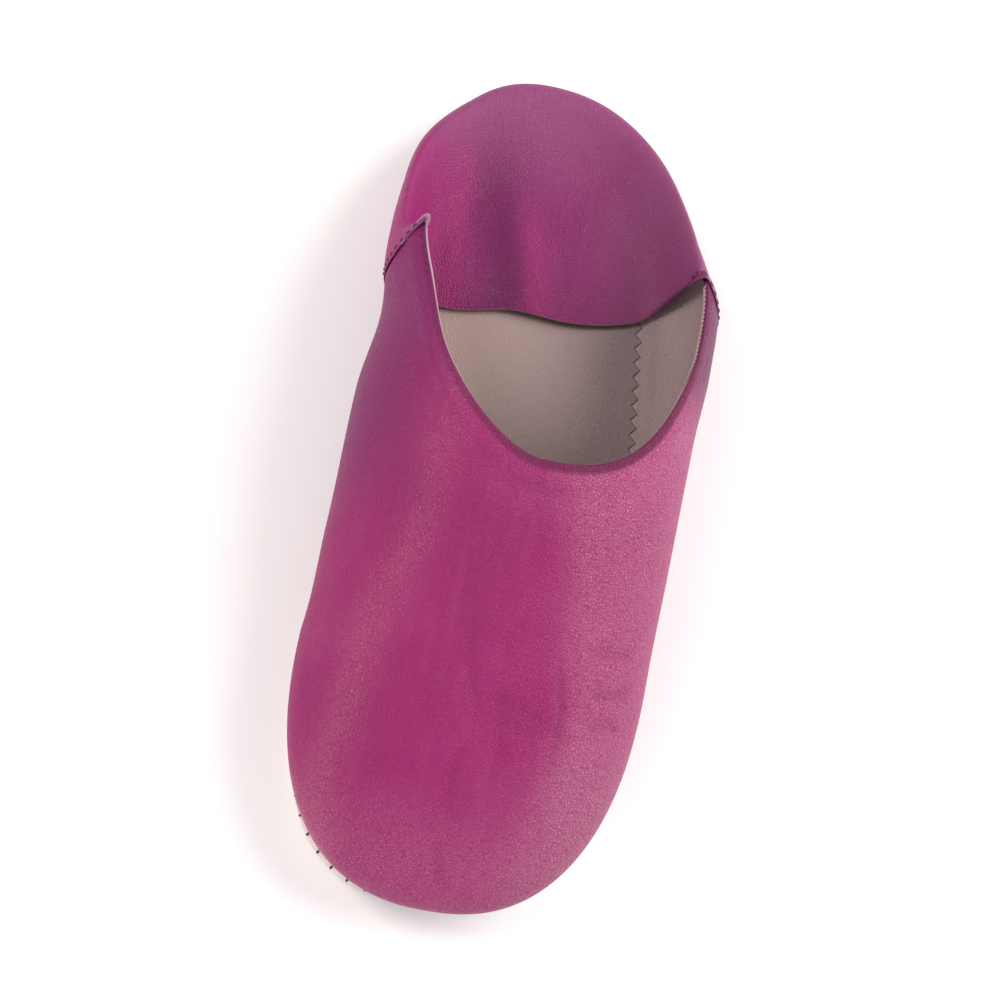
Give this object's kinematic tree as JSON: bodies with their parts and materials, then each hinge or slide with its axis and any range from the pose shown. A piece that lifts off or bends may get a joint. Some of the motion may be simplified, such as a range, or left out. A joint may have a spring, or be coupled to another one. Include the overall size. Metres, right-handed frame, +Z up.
{
  "type": "babouche slipper",
  "caption": "Soft leather babouche for the left foot: smooth closed vamp with an open U-shaped mouth, back folded down flat inside, flat leather sole.",
  "frame": {"origin": "on the ground under the middle of the slipper's bounding box", "axes": "+Z up, toe towards -Y and heel towards +Y, inner (big toe) side towards -X and outer side towards +X"},
  "size_m": [0.1084, 0.2694, 0.0589],
  "materials": {
    "vamp_leather": "dyed magenta, fine pebble grain, satin",
    "quarter_leather": "dyed magenta, fine grain, softly rippled, satin",
    "insole_leather": "undyed beige-grey lining leather, matt",
    "sole_leather": "undyed vegetable-tanned leather, matt"
  },
  "bodies": {
    "root": {"outsole": "sole_leather", "insole": "insole_leather", "vamp": "vamp_leather", "heel_quarter": "quarter_leather"}
  },
  "joints": []
}
